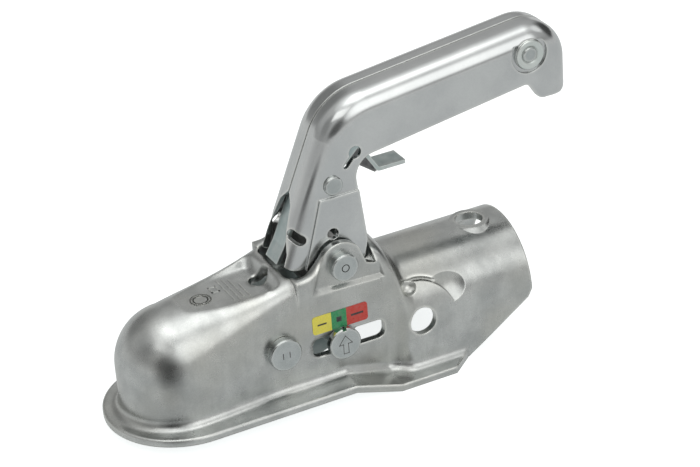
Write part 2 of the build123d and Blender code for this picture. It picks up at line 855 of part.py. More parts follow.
def pad(face_y):
    """The raised lower panel of the handle, up to a half width of face_y."""
    corners = (
        (front_x(pad_top_z) + 9, pad_top_z, 0),
        (inner_bend_x + 10, pad_top_z, 0),
        (inner_bend_x + 10, 10, 0),
        (pivot_x - 14, 10, 0),
        (front_x(nose_z) + 13, nose_z - 4, 0),
    )
    with BuildPart() as panel:
        extrude(rounded_outline(corners), amount=face_y, both=True)
    return panel.part


with BuildPart() as handle_form:
    add(handle_bulk(0))
    add(pad(grip_half + pad_rise))
    # Only what lies inside the side outline stays, with the round tail about the pivot.
    with BuildPart(mode=Mode.PRIVATE) as side_prism:
        extrude(side_outline, amount=far / 4, both=True)
        add(bar_y(pivot_x, pivot_z, tail_r, -far / 4, far / 4))
    add(side_prism.part, mode=Mode.INTERSECT)
    with BuildPart(mode=Mode.PRIVATE) as hollow:
        add(handle_bulk(grip_sheet))
        add(pad(grip_half + pad_rise - grip_sheet))
        for side in (-1, 1):
            floor_y = side * (grip_half - grip_sheet - grip_pocket_depth)
            low_y, high_y = sorted((floor_y, side * grip_half))
            dimple = bar_y(grip_rivet_x, grip_rivet_z, grip_pocket_r + grip_sheet, low_y, high_y)
            add(dimple, mode=Mode.SUBTRACT)
    add(hollow.part, mode=Mode.SUBTRACT)
    for side in (-1, 1):
        low_y, high_y = sorted((side * (grip_half - grip_pocket_depth), side * (grip_half + 5)))
        add(bar_y(grip_rivet_x, grip_rivet_z, grip_pocket_r, low_y, high_y), mode=Mode.SUBTRACT)
    # The shells spread apart in front, from the end of the seam down to the nose.
    with BuildSketch(Plane.YZ.offset(grip_corner_x - 50)):
        mirrored_gap = [(-y, z) for y, z in reversed(front_gap[1:])]
        Polygon(*front_gap, *mirrored_gap, align=None)
    extrude(amount=50, mode=Mode.SUBTRACT)
    # Holes for the pivot, the rivets and the two pressed holes in the lower panel.
    with BuildSketch(Plane.XZ):
        with Locations((pivot_x, pivot_z)):
            Circle(pivot_r + running_gap)
        with Locations((catch_x, catch_z)):
            Circle(catch_rivet_r)
        with Locations((grip_rivet_x, grip_rivet_z)):
            Circle(grip_rivet_r)
        with Locations((pressed_hole_x, pressed_hole_z)):
            Circle(pressed_hole_r)
        with Locations((keyhole_x, keyhole_z)):
            Circle(keyhole_r)
        with Locations(Location((keyhole_slot_x, keyhole_slot_z), keyhole_slot_tilt)):
            SlotOverall(keyhole_slot_length, keyhole_slot_width)
    extrude(amount=far, both=True, mode=Mode.SUBTRACT)
    for side in (-1, 1):
        turn = math.radians(shoulder_slot_turn)
        shoulder = Plane(
            (shoulder_slot_x, side * shoulder_slot_y, shoulder_slot_z),
            x_dir=(math.cos(turn), side * math.sin(turn), 0),
            z_dir=(-math.sin(turn), side * math.cos(turn), 0),
        )
        with BuildSketch(shoulder.offset(-6)):
            with Locations(Location((0, 0), side * shoulder_slot_tilt)):
                SlotOverall(shoulder_slot_length, shoulder_slot_width)
        extrude(amount=14, mode=Mode.SUBTRACT)
    # A groove follows the seam over the top.
    with BuildPart(mode=Mode.PRIVATE) as seam:
        extrude(bulk_outline(-1), amount=seam_half, both=True)
        with BuildPart(mode=Mode.PRIVATE) as seam_floor:
            extrude(bulk_outline(seam_depth), amount=seam_half + 1, both=True)
        add(seam_floor.part, mode=Mode.SUBTRACT)
    add(seam.part, mode=Mode.SUBTRACT)

for name, keep in (("handle_shell_left", Keep.BOTTOM), ("handle_shell_right", Keep.TOP)):
    with BuildPart() as shell:
        add(handle_form.part)
        split(bisect_by=Plane((0, 0, 0), x_dir=(1, 0, 0), z_dir=(0, 1, 0)), keep=keep)
    export(shell.part, name)

# Grip rivet with its washers and the spacer tube between the shells

washer_floor = grip_half - grip_pocket_depth
for name, side in (("grip_washer_left", -1), ("grip_washer_right", 1)):
    edges_y = sorted((side * washer_floor, side * (washer_floor + grip_washer_h)))
    with BuildPart() as washer:
        add(washer_y(grip_rivet_x, grip_rivet_z, grip_washer_r, grip_rivet_r, edges_y[0], edges_y[1]))
        outer_ring = washer.edges().filter_by(GeomType.CIRCLE).sort_by(SortBy.RADIUS)[-2:]
        chamfer(outer_ring.sort_by(lambda e: abs(e.center().Y))[-1], 0.5)
    export(washer.part, name)
rivet_end = washer_floor + grip_washer_h + 0.6
with BuildPart() as grip_rivet:
    add(bar_y(grip_rivet_x, grip_rivet_z, grip_rivet_r, -rivet_end, rivet_end))
    chamfer(grip_rivet.edges().filter_by(GeomType.CIRCLE), 0.5)
export(grip_rivet.part, "grip_rivet")
spacer_end = grip_half - grip_sheet - grip_pocket_depth
spacer_bore_r = grip_rivet_r + running_gap
grip_spacer = washer_y(grip_rivet_x, grip_rivet_z, grip_rivet_r + 2, spacer_bore_r, -spacer_end, spacer_end)
export(grip_spacer, "grip_spacer")

# Catch rivet, lever and spring

catch_rivet = headed_pin(
    catch_x, catch_z, catch_rivet_r,
    -grip_half - catch_head_h, catch_head_r, catch_head_h,
    grip_half + catch_head_h, catch_head_r, catch_head_h,
)
export(catch_rivet, "catch_rivet")

foot_x = collar_x + 0.3
with BuildPart() as catch_lever:
    # The folded strip: tongue under the grip, web over the rivet, plate down to the foot.
    with BuildSketch(Plane.XZ):
        with BuildLine():
            FilletPolyline(*catch_strip, (foot_x + catch_sheet, nose_z - 0.2), radius=3)
            offset(amount=catch_sheet, side=Side.RIGHT)
        make_face()
    extrude(amount=catch_half, both=True)
    # Two arms hang from the web and run on the rivet.
    with BuildSketch(Plane.XZ):
        with Locations((catch_x, catch_z)):
            Circle(catch_rivet_r + 3.5)
        Polygon(*catch_arm, align=None)
    extrude(amount=catch_half, both=True)
    with BuildSketch(Plane.XZ):
        Polygon((72.0, 52.0), *reversed(catch_strip[2:6]), (125.0, 60.0), align=None)
    extrude(amount=catch_half - catch_sheet, both=True, mode=Mode.SUBTRACT)
    with BuildSketch(Plane.XZ):
        with Locations((catch_x, catch_z)):
            Circle(catch_rivet_r + running_gap)
    extrude(amount=far, both=True, mode=Mode.SUBTRACT)
export(catch_lever.part, "catch_lever")

coil_r = 4.9
coil_wire = 1.1
coil_half = 2.9
with BuildPart() as catch_spring:
    with BuildLine() as catch_coil:
        Helix(
            pitch=1.4,
            height=2 * coil_half,
            radius=coil_r,
            center=(catch_x, -coil_half, catch_z),
            direction=(0, 1, 0),
        )
    with BuildSketch(Plane(catch_coil.line @ 0, z_dir=catch_coil.line % 0)):
        Circle(coil_wire / 2)
    sweep(path=catch_coil.line, is_frenet=True)
export(catch_spring.part, "catch_spring")

# Cam block: a hub on the pivot pin and the eccentric round cam that pushes the horns

hub_r = 9.0
neck_half = 6.0
cam_half = grip_half + pad_rise - grip_sheet - 0.05
with BuildPart() as cam_block:
    with BuildSketch(Plane.XZ):
        with Locations((cam_centre_x, cam_centre_z)):
            Circle(cam_r)
        with Locations((pivot_x, pivot_z)):
            Circle(hub_r)
        with Locations(Location(((pivot_x + cam_centre_x) / 2, (pivot_z + cam_centre_z) / 2), cam_start_deg)):
            Rectangle(cam_offset, 2 * neck_half)
        with Locations((pivot_x, pivot_z)):
            Circle(pivot_r + running_gap, mode=Mode.SUBTRACT)
    extrude(amount=cam_half, both=True)
export(cam_block.part, "cam_block")
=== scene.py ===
"""Looks of the trailer coupling head: zinc finishes, plain marks, scale, light and camera."""

import bpy
import json
import math
from mathutils import Matrix, Vector


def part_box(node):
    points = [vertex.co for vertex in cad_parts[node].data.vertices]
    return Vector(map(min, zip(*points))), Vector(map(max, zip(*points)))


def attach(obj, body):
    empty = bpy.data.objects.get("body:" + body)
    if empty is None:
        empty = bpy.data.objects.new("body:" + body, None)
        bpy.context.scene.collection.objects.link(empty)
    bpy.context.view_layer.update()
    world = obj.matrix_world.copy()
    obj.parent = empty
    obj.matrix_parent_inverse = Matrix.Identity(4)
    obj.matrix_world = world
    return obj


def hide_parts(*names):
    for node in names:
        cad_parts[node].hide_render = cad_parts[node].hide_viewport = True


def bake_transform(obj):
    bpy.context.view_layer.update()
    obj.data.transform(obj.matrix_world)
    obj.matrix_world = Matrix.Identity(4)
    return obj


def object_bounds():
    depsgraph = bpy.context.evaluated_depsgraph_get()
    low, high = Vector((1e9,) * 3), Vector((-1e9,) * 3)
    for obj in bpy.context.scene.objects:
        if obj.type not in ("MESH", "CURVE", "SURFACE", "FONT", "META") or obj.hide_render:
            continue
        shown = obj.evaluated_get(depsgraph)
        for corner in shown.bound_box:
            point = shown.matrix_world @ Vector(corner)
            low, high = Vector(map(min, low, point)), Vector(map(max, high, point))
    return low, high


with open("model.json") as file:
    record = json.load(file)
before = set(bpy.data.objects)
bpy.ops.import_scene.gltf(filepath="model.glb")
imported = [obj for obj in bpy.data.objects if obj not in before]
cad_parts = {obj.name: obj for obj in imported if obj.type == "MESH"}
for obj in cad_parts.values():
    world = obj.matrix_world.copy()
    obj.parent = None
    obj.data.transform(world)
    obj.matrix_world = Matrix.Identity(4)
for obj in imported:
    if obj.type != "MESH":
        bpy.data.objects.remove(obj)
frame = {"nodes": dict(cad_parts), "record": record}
CAD_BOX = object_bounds()

MM = 0.001

# Places on the object, in metres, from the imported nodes
SCALE_LOW, SCALE_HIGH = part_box("wear_scale")
INDICATOR_LOW, INDICATOR_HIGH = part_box("indicator_pin")
JAW_PIN_LOW, JAW_PIN_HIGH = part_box("jaw_pin")
PIVOT_LOW, PIVOT_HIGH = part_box("handle_pivot_pin")

# Below here, places and sizes on the object are in millimetres unless they carry MM

# The boxes in which the pressing's borders roll softly over, with the radius of each, and how far
# outside a box its radius fades
SOFT_BOXES = (
    ((-12, -26, 22), (46, 26, 40), 4.2),
    ((52, -26, 24), (64, 26, 40), 3.0),
    ((58, -42, -8), (80, -22, 44), 5.0),
    ((58, 22, -8), (80, 42, 44), 5.0),
    ((-50, -60, -40), (260, 60, -21), 2.4),
)
SOFT_BOX_EASE = 4.0

# Zinc: noise in cells per metre, the size of clouds and gloss over that of the blotches, and how far
# the painted shade in hollows and the wear and painted highlight on outer edges reach
SPECK_CELLS = 1300
DRAWN_CELLS = 420
DRAWN_STRETCH = (1, 1, 0.12)
UNEVEN_CELLS = 200
UNEVEN_DEPTH = 5
CLOUD_SIZE = 3.1
GLOSS_SIZE = 0.6
PAINTED_SHADE_REACH = 5.0
EDGE_REACH = 1.6
# The colour of outer edges: partly wear, partly a painted highlight
WORN_AND_HIGHLIT_ZINC = (0.86, 0.87, 0.83)
NEARBY_SAMPLES = 4
EDGE_SAMPLES = 8

# The scale: where its first two fields end as shares of its length, its colours, and the half width
# and half height of the plain mark in each field
FIELD_ENDS = (0.34, 0.615)
YELLOW, GREEN, RED = (0.74, 0.66, 0.09), (0.03, 0.26, 0.10), (0.52, 0.05, 0.035)
INK = (0.03, 0.03, 0.03)
FILM_DIRT = (0.3, 0.28, 0.25)
DIRT_CELLS = 500
FIELD_MARKS = ((2.6, 0.5), (1.5, 1.5), (3.6, 0.6))

# Plain marks: width and height of their strokes, and how deep the strokes are rooted in the face
ARROW_STROKE = (0.42, 0.05)
PIN_STROKE = (0.5, 0.05)
TOP_STROKE = (0.8, 0.22)
STROKE_ROOT = -0.05
# The indicator's arrow, as shares of the radius of the pin's head
ARROW_TIP, ARROW_HEAD, ARROW_FOOT = 0.55, 0.55, -0.62
ARROW_BARB, ARROW_STEM = 0.42, 0.16
BAR_ASIDE, BAR_HALF = 1.9, 1.5
PIVOT_RING = (2.0, 20)
# On the pressed flat: circles as radius and sides, a frame, and rows of dashes across it
PLATEAU_Z = 29.6
TOP_CIRCLES = ((5.4, 32), (3.9, 28))
TOP_CIRCLES_AT = (18.5, -1.5)
FRAME_HALF_X, FRAME_HALF_Y = 1.9, 2.6
FRAME_AT = (28.6, 4.5)
FIRST_ROW_X, ROW_STEP = 33.4, 2.9
DASH_ROWS = (
    ((-11, -6), (-4, 1), (3, 8), (9.5, 11.5)),
    ((-11.5, -9), (-7, 0), (2, 5), (7, 11)),
    ((-10, -5), (-3, -1), (1, 9)),
    ((-11, -7), (-5, 2)),
)

# The grip washers' raised rims: radius and height above the washer's face, from outside to inside
WASHER_RIM = (
    (8.1, -0.1), (8.1, 0.35), (7.8, 0.7), (7.3, 0.85), (6.8, 0.75), (5.3, 0.25), (4.5, 0.05), (4.2, -0.1),
)
RIM_SIDES = 56

# The catch lever's folded sides as x and z beside its strip, their sheet, and how far they lie inside
# the strip's edge
CATCH_BODY = "catch"
GUSSET = ((103.5, 85.0), (104.5, 96.2), (112.6, 92.2), (122.8, 76.6), (120.5, 75.6), (112.0, 82.0))
GUSSET_SHEET = 2.2
GUSSET_INSET = 0.1

# The white floor just below the object, and the dimmer one further down that only the zinc mirrors
FLOOR_Z = CAD_BOX[0].z - 0.2 * MM
MIRRORED_FLOOR_Z = FLOOR_Z - 60 * MM
FLOOR_REACH = 4.0
FLOOR_GREY, FLOOR_GLOW = 0.5, 0.82
MIRRORED_GREY, MIRRORED_GLOW = 0.35, 0.42

# Lamps: place from the object's middle and size in metres, watts and tone
LAMPS = (
    ("key", (-0.7, -0.6, 1.2), (0.9, 0.5), 1.4, (1.0, 0.99, 0.97)),
    ("top", (0.1, -0.1, 1.5), (0.9, 0.9), 1.2, (1.0, 1.0, 0.98)),
)

# Two dark cards beside the object, outside the picture: centre, azimuth that they face, half sizes,
# the share of the radius where their soft edge starts, and how dark they get
DARK_CARDS = (
    ("low_card", (-49, -87, 14), 156, 74, 96),
    ("high_card", (-28, -66, 90), 118, 38, 28),
)
CARD_SIDES = 32
CARD_SOFT_FROM = 0.12
CARD_COVER = 0.85

# Soft panels and dark gaps of the studio: azimuth from +Y towards -X, elevation, inner and outer
# radius in degrees, and brightness
STUDIO_LOBES = (
    (15, 26, 8, 30, 0.28),
    (-95, 44, 6, 20, 1.25),
    (-78, 14, 16, 34, 0.08),
    (96, 30, 8, 24, 0.34),
    (146, 16, 8, 26, 0.13),
    (-170, 37, 12, 28, 1.75),
)
# Brightness by the sine of the elevation, away from those, and at the horizon, where they fade out
STUDIO_STEPS = ((0.2, 0.42), (0.5, 0.55), (0.79, 0.6), (0.9, 0.95), (0.985, 1.75))
HORIZON = 0.74
HORIZON_FADE = (0.10, 0.17)

# The camera, as solved from the photograph: place in metres, its axes, and its lens and film width
CAMERA_PLACE = (-0.371191, -1.027984, 0.661461)
CAMERA_RIGHT = (0.888006, -0.454581, -0.06929)
CAMERA_UP = (0.273503, 0.401013, 0.874291)
CAMERA_BACK = (-0.369649, -0.795327, 0.480431)
CAMERA_LENS, FILM_WIDTH = 126.59, 36
CAMERA_CLIP = (0.05, 20)


def new_nodes(name):
    """An empty node material with its output and its shader."""
    material = bpy.data.materials.new(name)
    material.use_nodes = True
    tree = material.node_tree
    tree.nodes.clear()
    output = tree.nodes.new("ShaderNodeOutputMaterial")
    shader = tree.nodes.new("ShaderNodeBsdfPrincipled")
    link(tree, shader.outputs["BSDF"], output.inputs["Surface"])
    return material, tree, shader


def link(tree, source, target):
    tree.links.new(source, target)


def object_coordinates(tree):
    return tree.nodes.new("ShaderNodeTexCoord").outputs["Object"]


def split_axes(tree, vector):
    """The X, Y and Z outputs of a vector, by name."""
    node = tree.nodes.new("ShaderNodeSeparateXYZ")
    link(tree, vector, node.inputs[0])
    return node.outputs


def math_node(tree, operation, a, b):
    """A math node whose inputs are sockets or numbers."""
    node = tree.nodes.new("ShaderNodeMath")
    node.operation = operation
    for index, value in enumerate((a, b)):
        if isinstance(value, (int, float)):
            node.inputs[index].default_value = value
        else:
            link(tree, value, node.inputs[index])
    return node.outputs[0]


def vector_node(tree, operation, vector, fixed=None):
    """A vector math node on a socket, with a fixed second vector if the operation takes one."""
    node = tree.nodes.new("ShaderNodeVectorMath")
    node.operation = operation
    link(tree, vector, node.inputs[0])
    if fixed is not None:
        node.inputs[1].default_value = fixed
    return node.outputs["Vector" if operation == "MULTIPLY" else "Value"]


def noise(tree, coordinates, scale, detail=3.0, roughness=0.5, stretch=(1, 1, 1)):
    """Noise of the given number of cells per metre."""
    mapping = tree.nodes.new("ShaderNodeMapping")
    mapping.inputs["Scale"].default_value = stretch
    link(tree, coordinates, mapping.inputs["Vector"])
    node = tree.nodes.new("ShaderNodeTexNoise")
    node.inputs["Scale"].default_value = scale
    node.inputs["Detail"].default_value = detail
    node.inputs["Roughness"].default_value = roughness
    link(tree, mapping.outputs["Vector"], node.inputs["Vector"])
    return node.outputs["Fac"]


def remap(tree, value, low, high, to_low, to_high):
    """Takes low to high onto to_low to to_high, and holds it there."""
    node = tree.nodes.new("ShaderNodeMapRange")
    node.inputs["From Min"].default_value = low
    node.inputs["From Max"].default_value = high
    node.inputs["To Min"].default_value = to_low
    node.inputs["To Max"].default_value = to_high
    link(tree, value, node.inputs["Value"])
    return node.outputs["Result"]


def smooth_step(tree, value, low, high, to_low=0.0, to_high=1.0):
    """Like remap, with an eased start and end."""
    result = remap(tree, value, low, high, to_low, to_high)
    result.node.interpolation_type = "SMOOTHSTEP"
    return result


def mix_colour(tree, factor, a, b):
    """Mixes two colours, each a socket or a triple, by a socket."""
    node = tree.nodes.new("ShaderNodeMix")
    node.data_type = "RGBA"
    link(tree, factor, node.inputs["Factor"])
    for name, value in (("A", a), ("B", b)):
        socket = [s for s in node.inputs if s.name == name and s.type == "RGBA"][0]
        if isinstance(value, tuple):
            socket.default_value = (*value, 1)
        else:
            link(tree, value, socket)
    return [s for s in node.outputs if s.type == "RGBA"][0]


def darker(colour, share):
    return tuple(c * share for c in colour)


def nearby(tree, distance_mm, inside=False):
    """1 on open faces, less in hollows, or with inside, less along outer edges."""
    node = tree.nodes.new("ShaderNodeAmbientOcclusion")
    node.samples = NEARBY_SAMPLES
    node.inside = inside
    node.only_local = True
    node.inputs["Distance"].default_value = distance_mm * MM
    return node.outputs["AO"]


def inside_box(tree, coordinates, low, high, ease):
    """1 inside a box, easing to 0 outside it."""
    axes = split_axes(tree, coordinates)
    share = None
    for axis, start, end in zip("XYZ", low, high):
        above = smooth_step(tree, axes[axis], (start - ease) * MM, start * MM)
        below = smooth_step(tree, axes[axis], end * MM, (end + ease) * MM, 1.0, 0.0)
        both = math_node(tree, "MULTIPLY", above, below)
        share = both if share is None else math_node(tree, "MULTIPLY", share, both)
    return share


def zinc(name, dark, light, rough, blotch_mm, edge_mm, grain, wear_and_highlight, tint=None, speckle=0.1, drawn=0.0):
    """Zinc-plated steel: soft blotches of two greys, uneven gloss, outer edges lightened partly as wear and
    partly as a painted highlight, and painted shade in hollows.
    """
    material, tree, shader = new_nodes(name)
    coordinates = object_coordinates(tree)
    blotches = noise(tree, coordinates, 1000 / blotch_mm)
    colour = mix_colour(tree, smooth_step(tree, blotches, 0.3, 0.7), dark, light)
    if tint:
        clouds = noise(tree, coordinates, 1000 / (blotch_mm * CLOUD_SIZE), 2.0)
        colour = mix_colour(tree, smooth_step(tree, clouds, 0.42, 0.75, 0, 0.6), colour, tint)
    if drawn:
        streaks = noise(tree, coordinates, DRAWN_CELLS, 2.0, 0.5, DRAWN_STRETCH)
        colour = mix_colour(tree, smooth_step(tree, streaks, 0.45, 0.75, 0, drawn), colour, darker(dark, 0.8))
    specks = smooth_step(tree, noise(tree, coordinates, SPECK_CELLS, 2.0, 0.6), 0.35, 0.65, 0, speckle)
    colour = mix_colour(tree, specks, colour, darker(dark, 0.6))
    # Painted shade: the colour darkens in hollows, where ambient occlusion finds them
    painted_shade = smooth_step(tree, nearby(tree, PAINTED_SHADE_REACH), 0.25, 0.85, 0.5, 0.0)
    colour = mix_colour(tree, painted_shade, colour, darker(dark, 0.45))
    # Outer edges turn lighter in the colour: partly wear, partly a painted highlight
    worn_and_highlit_edge = smooth_step(tree, nearby(tree, EDGE_REACH, inside=True), 0.5, 0.92, wear_and_highlight, 0.0)
    colour = mix_colour(tree, worn_and_highlit_edge, colour, WORN_AND_HIGHLIT_ZINC)
    link(tree, colour, shader.inputs["Base Color"])
    shader.inputs["Metallic"].default_value = 1.0
    gloss = noise(tree, coordinates, 1000 / (blotch_mm * GLOSS_SIZE))
    link(tree, remap(tree, gloss, 0.3, 0.7, *rough), shader.inputs["Roughness"])
    soft_edge = tree.nodes.new("ShaderNodeBevel")
    soft_edge.samples = EDGE_SAMPLES
    soft_edge.inputs["Radius"].default_value = edge_mm * MM
    uneven = tree.nodes.new("ShaderNodeBump")
    uneven.inputs["Strength"].default_value = 1.0
    uneven.inputs["Distance"].default_value = grain * MM * UNEVEN_DEPTH
    link(tree, noise(tree, coordinates, UNEVEN_CELLS, 1.5), uneven.inputs["Height"])
    link(tree, soft_edge.outputs["Normal"], uneven.inputs["Normal"])
    link(tree, uneven.outputs["Normal"], shader.inputs["Normal"])
    return material


def soften(material, boxes):
    """Rounds the edges inside the boxes by more than the finish does elsewhere."""
    tree = material.node_tree
    soft_edge = [node for node in tree.nodes if node.type == "BEVEL"][0]
    radius = soft_edge.inputs["Radius"].default_value
    coordinates = object_coordinates(tree)
    for low, high, radius_mm in boxes:
        share = inside_box(tree, coordinates, low, high, SOFT_BOX_EASE)
        radius = math_node(tree, "MAXIMUM", math_node(tree, "MULTIPLY", share, radius_mm * MM), radius)
    link(tree, radius, soft_edge.inputs["Radius"])


def band(tree, value, middle, half):
    """1 within half of the middle, 0 elsewhere."""
    above = math_node(tree, "GREATER_THAN", value, middle - half)
    below = math_node(tree, "LESS_THAN", value, middle + half)
    return math_node(tree, "MULTIPLY", above, below)


def scale_film():
    """Printed film with three colour fields and a plain mark in each."""
    material, tree, shader = new_nodes("scale_film")
    coordinates = object_coordinates(tree)
    axes = split_axes(tree, coordinates)
    left, right = SCALE_LOW.x, SCALE_HIGH.x
    ends = [left + share * (right - left) for share in (0, *FIELD_ENDS, 1)]
    middle_z = (SCALE_LOW.z + SCALE_HIGH.z) / 2
    colour = mix_colour(tree, math_node(tree, "GREATER_THAN", axes["X"], ends[1]), YELLOW, GREEN)
    colour = mix_colour(tree, math_node(tree, "GREATER_THAN", axes["X"], ends[2]), colour, RED)
    marks = None
    for start, end, (half_wide, half_high) in zip(ends, ends[1:], FIELD_MARKS):
        across = band(tree, axes["X"], (start + end) / 2, half_wide * MM)
        upright = band(tree, axes["Z"], middle_z, half_high * MM)
        mark = math_node(tree, "MULTIPLY", across, upright)
        marks = mark if marks is None else math_node(tree, "MAXIMUM", marks, mark)
    colour = mix_colour(tree, marks, colour, INK)
    dirt = noise(tree, coordinates, DIRT_CELLS, 4.0, 0.6)
    colour = mix_colour(tree, remap(tree, dirt, 0.5, 0.8, 0, 0.25), colour, FILM_DIRT)
    link(tree, colour, shader.inputs["Base Color"])
    link(tree, remap(tree, dirt, 0.3, 0.7, 0.22, 0.38), shader.inputs["Roughness"])
    return material


# The finish of each material slot in the record
FINISHES = {
    "housing_zinc": zinc(
        "housing_zinc", (0.43, 0.445, 0.44), (0.57, 0.585, 0.575), rough=(0.25, 0.34), blotch_mm=14,
        edge_mm=1.1, grain=0.008, wear_and_highlight=0.7, tint=(0.50, 0.50, 0.46), speckle=0.18, drawn=0.12),
    "handle_zinc": zinc(
        "handle_zinc", (0.52, 0.535, 0.54), (0.61, 0.625, 0.625), rough=(0.15, 0.2), blotch_mm=30,
        edge_mm=0.6, grain=0.002, wear_and_highlight=0.5, tint=(0.54, 0.565, 0.57), speckle=0.08),
    "pin_zinc": zinc(
        "pin_zinc", (0.43, 0.46, 0.46), (0.50, 0.53, 0.53), rough=(0.2, 0.27), blotch_mm=8,
        edge_mm=0.5, grain=0.002, wear_and_highlight=0.6),
    "plate_zinc": zinc(
        "plate_zinc", (0.40, 0.47, 0.47), (0.54, 0.59, 0.585), rough=(0.3, 0.42), blotch_mm=8,
        edge_mm=0.5, grain=0.006, wear_and_highlight=0.5, tint=(0.35, 0.45, 0.46)),
    "forged_steel": zinc(
        "forged_steel", (0.28, 0.28, 0.275), (0.42, 0.42, 0.41), rough=(0.38, 0.55), blotch_mm=4,
        edge_mm=0.8, grain=0.04, wear_and_highlight=0.3, speckle=0.3),
    "spring_steel": zinc(
        "spring_steel", (0.10, 0.10, 0.105), (0.18, 0.18, 0.18), rough=(0.3, 0.42), blotch_mm=5,
        edge_mm=0.2, grain=0.01, wear_and_highlight=0.2),
    "sticker": scale_film(),
}
soften(FINISHES["housing_zinc"], SOFT_BOXES)


def dress_nodes():
    """Gives every CAD node the finish of its material slot in the record."""
    slots = {entry["node"]: entry["material_slot"] for entry in frame["record"]["subparts"]}
    for name, node in frame["nodes"].items():
        node.data.materials.clear()
        node.data.materials.append(FINISHES[slots[name]])


def mesh_piece(name, points, faces, material):
    """A new mesh in the scene, with one material."""
    mesh = bpy.data.meshes.new(name)
    mesh.from_pydata(points, [], faces)
    mesh.materials.append(material)
    piece = bpy.data.objects.new(name, mesh)
    bpy.context.scene.collection.objects.link(piece)
    return piece


def circle(radius, count):
    """Points round the origin, the last one before the first."""
    turns = [2 * math.pi * i / count for i in range(count)]
    return [(radius * math.cos(turn), radius * math.sin(turn)) for turn in turns]


def closed(corners):
    """An outline that ends where it starts."""
    return list(corners) + [corners[0]]


def shift(stroke, x, y):
    return [(px + x, py + y) for px, py in stroke]


def stamp(name, body, slot, strokes, face, right, up, width, height):
    """Flat strokes raised on a face: each stroke is a list of points, measured along right and up."""
    out = right.cross(up)
    points, faces = [], []
    for stroke in strokes:
        for start, end in zip(stroke, stroke[1:]):
            a, b = Vector(start), Vector(end)
            along = (b - a).normalized()
            aside = Vector((-along.y, along.x)) * width / 2
            tip = along * width / 2
            base = len(points)
            for level in (STROKE_ROOT, height):
                for corner in (a - tip - aside, b + tip - aside, b + tip + aside, a - tip + aside):
                    points.append(face + (right * corner.x + up * corner.y + out * level) * MM)
            faces.append([base + i for i in (4, 5, 6, 7)])
            for i in range(4):
                j = (i + 1) % 4
                faces.append([base + i, base + j, base + 4 + j, base + 4 + i])
    piece = mesh_piece(name, points, faces, FINISHES[slot])
    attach(piece, body)


def marks():
    """Plain marks on the heads of the three pins and on the pressed flat."""
    x_axis, y_axis, z_axis = Vector((1, 0, 0)), Vector((0, 1, 0)), Vector((0, 0, 1))
    head_r = (INDICATOR_HIGH.x - INDICATOR_LOW.x) / 2 / MM
    head = Vector(((INDICATOR_LOW.x + INDICATOR_HIGH.x) / 2, INDICATOR_LOW.y, INDICATOR_LOW.z + head_r * MM))
    tip, barb, stem = ARROW_TIP * head_r, ARROW_BARB * head_r, ARROW_STEM * head_r
    neck, foot = tip - ARROW_HEAD * head_r, ARROW_FOOT * head_r
    left_half = [(0, tip), (-barb, neck), (-stem, neck), (-stem, foot)]
    arrow = closed(left_half + [(stem, foot), (stem, neck), (barb, neck)])
    stamp("indicator_arrow", "slide", "spring_steel", [arrow], head, x_axis, z_axis, *ARROW_STROKE)

    bars = [[(x, -BAR_HALF), (x, BAR_HALF)] for x in (-BAR_ASIDE, BAR_ASIDE)]
    for name, low, high, strokes in (
        ("jaw_pin_mark", JAW_PIN_LOW, JAW_PIN_HIGH, bars),
        ("pivot_pin_mark", PIVOT_LOW, PIVOT_HIGH, [closed(circle(*PIVOT_RING))]),
    ):
        head = Vector(((low.x + high.x) / 2, low.y, (low.z + high.z) / 2))
        stamp(name, "housing", "spring_steel", strokes, head, x_axis, z_axis, *PIN_STROKE)

    strokes = [shift(closed(circle(*ring)), *TOP_CIRCLES_AT) for ring in TOP_CIRCLES]
    corners = [(x * FRAME_HALF_X, y * FRAME_HALF_Y) for x, y in ((-1, -1), (1, -1), (1, 1), (-1, 1))]
    strokes.append(shift(closed(corners), *FRAME_AT))
    for row, dashes in enumerate(DASH_ROWS):
        x = FIRST_ROW_X + ROW_STEP * row
        strokes += [[(x, start), (x, end)] for start, end in dashes]
    flat = Vector((0, 0, PLATEAU_Z)) * MM
    stamp("top_marks", "housing", "housing_zinc", strokes, flat, x_axis, y_axis, *TOP_STROKE)


def plate(name, body, slot, outline, start, end):
    """A flat plate across Y from an outline in X and Z."""
    count = len(outline)
    points = [(x * MM, y * MM, z * MM) for y in sorted((start, end)) for x, z in outline]
    sides = [(i, (i + 1) % count, count + (i + 1) % count, count + i) for i in range(count)]
    ends = [tuple(reversed(range(count))), tuple(range(count, 2 * count))]
    piece = mesh_piece(name, points, ends + sides, FINISHES[slot])
    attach(piece, body)


def gussets():
    """The catch's folded sides, which run beside its strip from the arms down to the tongue."""
    low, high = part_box("catch_lever")
    half = (high.y - low.y) / 2 / MM
    for name, side in (("catch_gusset_left", -1), ("catch_gusset_right", 1)):
        inner, outer = side * (half - GUSSET_SHEET), side * (half - GUSSET_INSET)
        plate(name, CATCH_BODY, "spring_steel", GUSSET, inner, outer)


def washer_rims():
    """The grip washers are dished: their rims stand up round the rivet's ends."""
    rings = len(WASHER_RIM)
    for side, node in ((-1, "grip_washer_left"), (1, "grip_washer_right")):
        low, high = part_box(node)
        face = low.y if side < 0 else high.y
        middle_x, middle_z = (low.x + high.x) / 2, (low.z + high.z) / 2
        points, faces = [], []
        for i, (aside, up) in enumerate(circle(1, RIM_SIDES)):
            for radius, height in WASHER_RIM:
                x, z = middle_x + radius * MM * aside, middle_z + radius * MM * up
                points.append((x, face + side * height * MM, z))
            a, b = i * rings, (i + 1) % RIM_SIDES * rings
            for k in range(rings):
                quad = (a + k, a + (k + 1) % rings, b + (k + 1) % rings, b + k)
                faces.append(tuple(reversed(quad)) if side < 0 else quad)
        rim = mesh_piece(node + "_rim", points, faces, FINISHES["plate_zinc"])
        for polygon in rim.data.polygons:
            polygon.use_smooth = True
        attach(rim, "handle")


